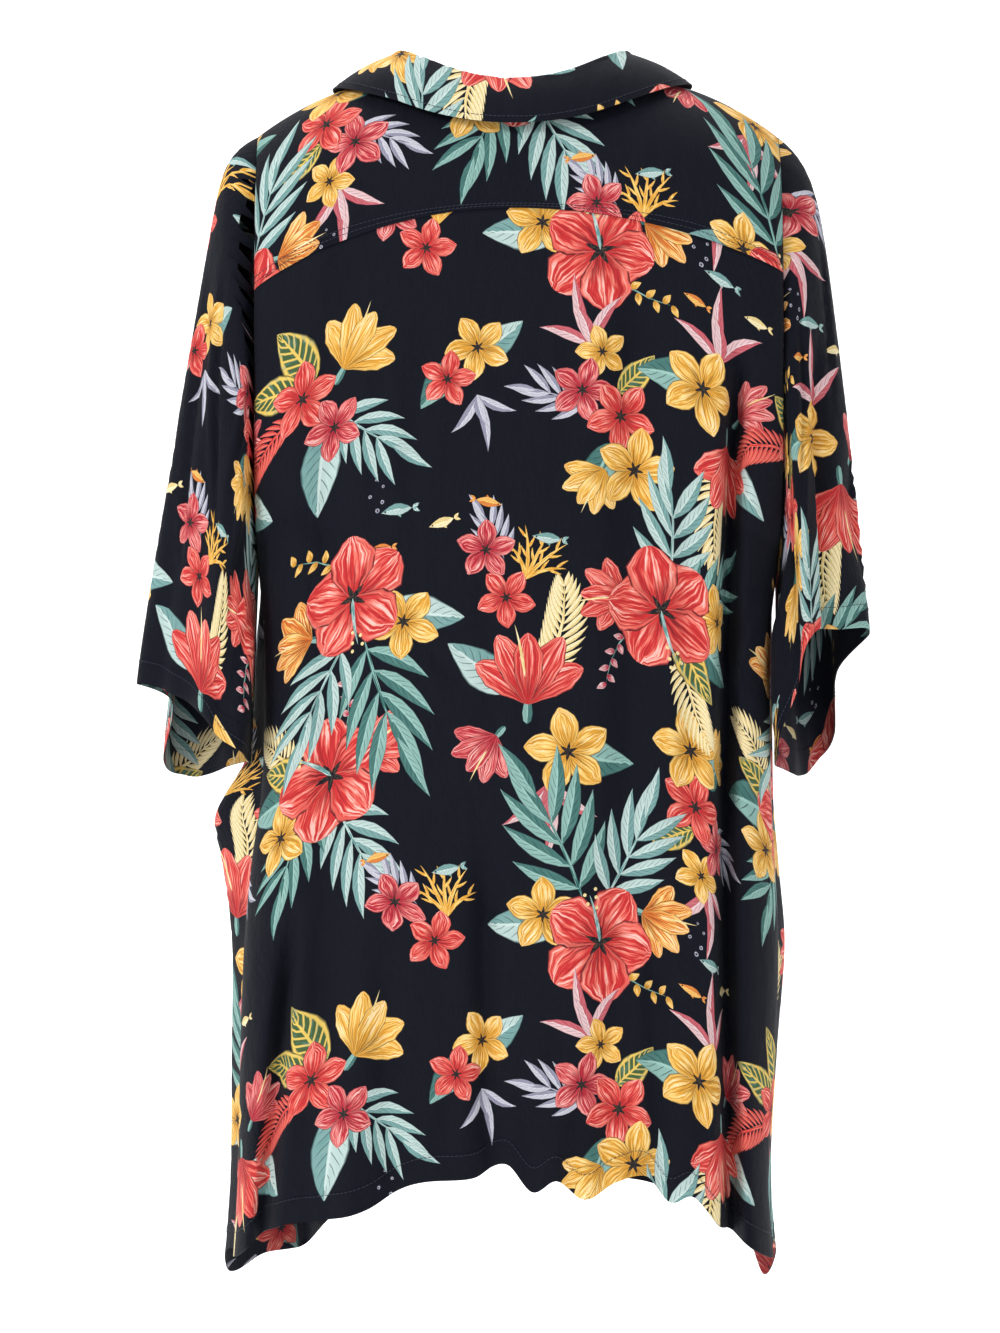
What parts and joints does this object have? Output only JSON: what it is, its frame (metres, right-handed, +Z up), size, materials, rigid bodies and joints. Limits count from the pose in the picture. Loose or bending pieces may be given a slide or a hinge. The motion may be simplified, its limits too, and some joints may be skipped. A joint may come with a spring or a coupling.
{
  "type": "hawaiian shirt",
  "caption": "Men's short-sleeved camp shirt hanging open and hollow, with a turned-down collar, back yoke, lapels and a buttoned front.",
  "frame": {"origin": "midway between the shoulders, at the height where the shoulder line carries the shirt", "axes": "+Z up, the wearer faces +Y, +X to the wearer's right, the back of the shirt towards -Y"},
  "size_m": [0.5618, 0.1863, 0.9618],
  "materials": {
    "printed_cloth": "matt navy rayon with a flower print",
    "button": "polished dark shell"
  },
  "bodies": {
    "root": {"back_yoke": "printed_cloth", "back_panel": "printed_cloth", "front_left": "printed_cloth", "front_right": "printed_cloth", "sleeve_left": "printed_cloth", "sleeve_right": "printed_cloth", "collar": "printed_cloth", "lapel_left": "printed_cloth", "lapel_right": "printed_cloth", "button_1": "button", "button_2": "button", "button_3": "button", "button_4": "button", "button_5": "button", "button_6": "button"}
  },
  "joints": []
}
